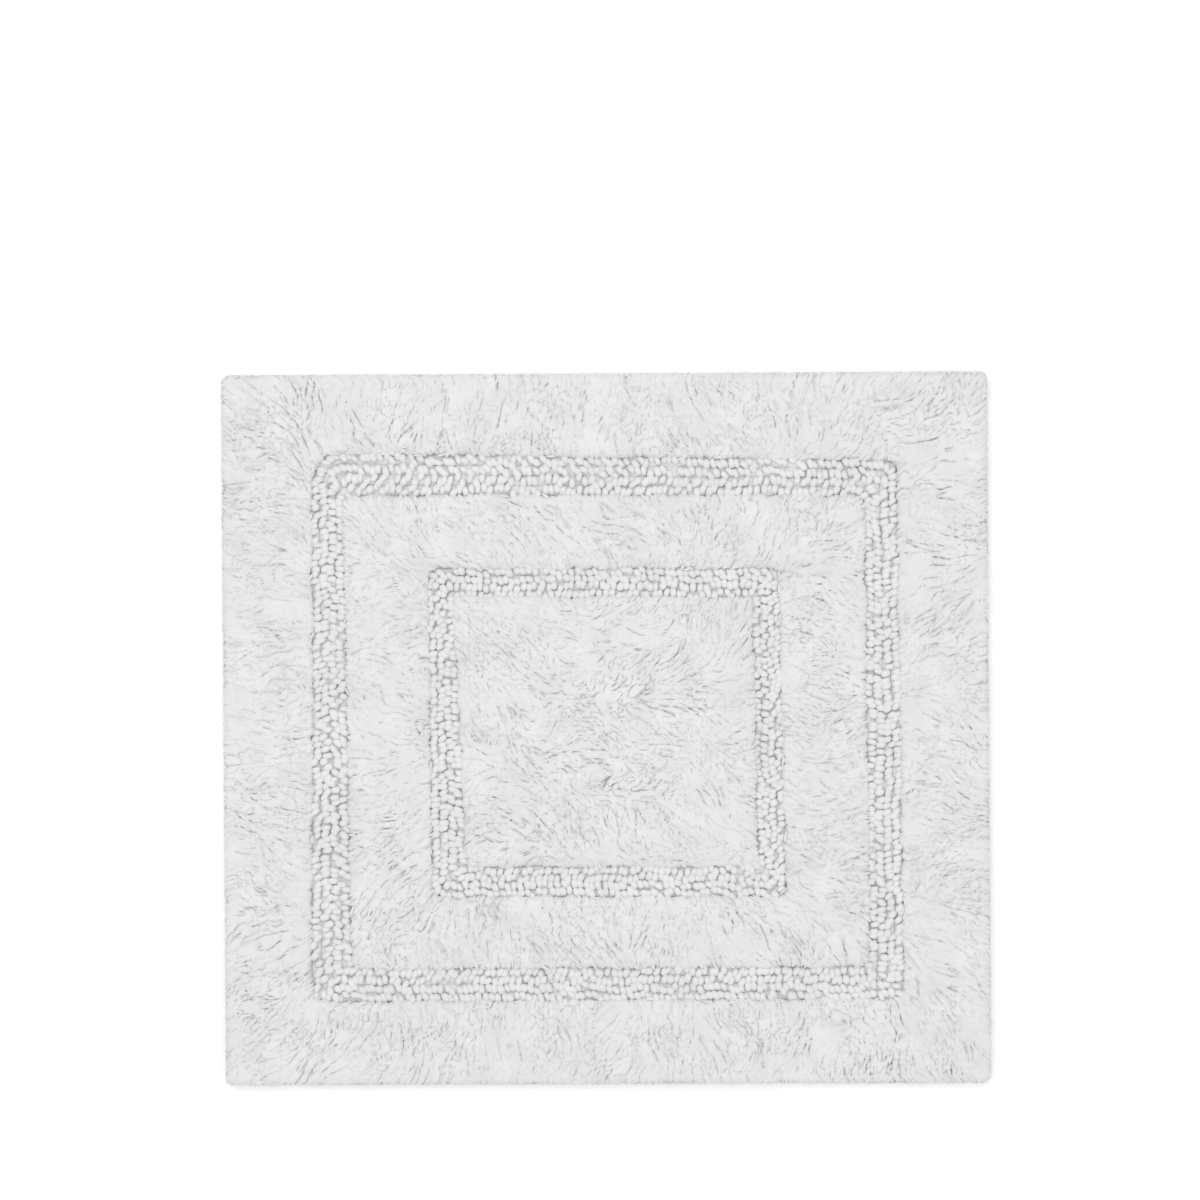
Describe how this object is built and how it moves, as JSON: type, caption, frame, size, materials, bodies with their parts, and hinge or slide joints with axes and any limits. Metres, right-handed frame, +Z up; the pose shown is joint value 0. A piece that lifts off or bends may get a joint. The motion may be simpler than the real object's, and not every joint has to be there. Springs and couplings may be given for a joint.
{
  "type": "bath mat",
  "caption": "Nearly square tufted cotton bath mat: cut-pile fields framed by sunken concentric bands of loop pile, with a turned-under hem and a non-slip latex back.",
  "frame": {"origin": "on the floor, under the middle of the mat's box", "axes": "+Z up out of the pile, +X to the mat's right along its longer side, +Y to its back"},
  "size_m": [0.5998, 0.556, 0.018],
  "materials": {
    "cut_cotton": "matte",
    "loop_cotton": "matte",
    "canvas": "matte",
    "thread": "matte",
    "ribbon": "satin",
    "latex": "matte"
  },
  "bodies": {
    "root": {"base_cloth": "canvas", "care_label": "ribbon", "centre_cut_pile": "cut_cotton", "hem_bobbin_thread": "thread", "hem_needle_thread": "thread", "inner_loop_row_1": "loop_cotton", "inner_loop_row_2": "loop_cotton", "inner_loop_row_3": "loop_cotton", "inner_loop_row_4": "loop_cotton", "latex_coat": "latex", "middle_cut_pile": "cut_cotton", "outer_cut_pile": "cut_cotton", "outer_loop_row_1": "loop_cotton", "outer_loop_row_2": "loop_cotton", "outer_loop_row_3": "loop_cotton", "outer_loop_row_4": "loop_cotton"}
  },
  "joints": []
}
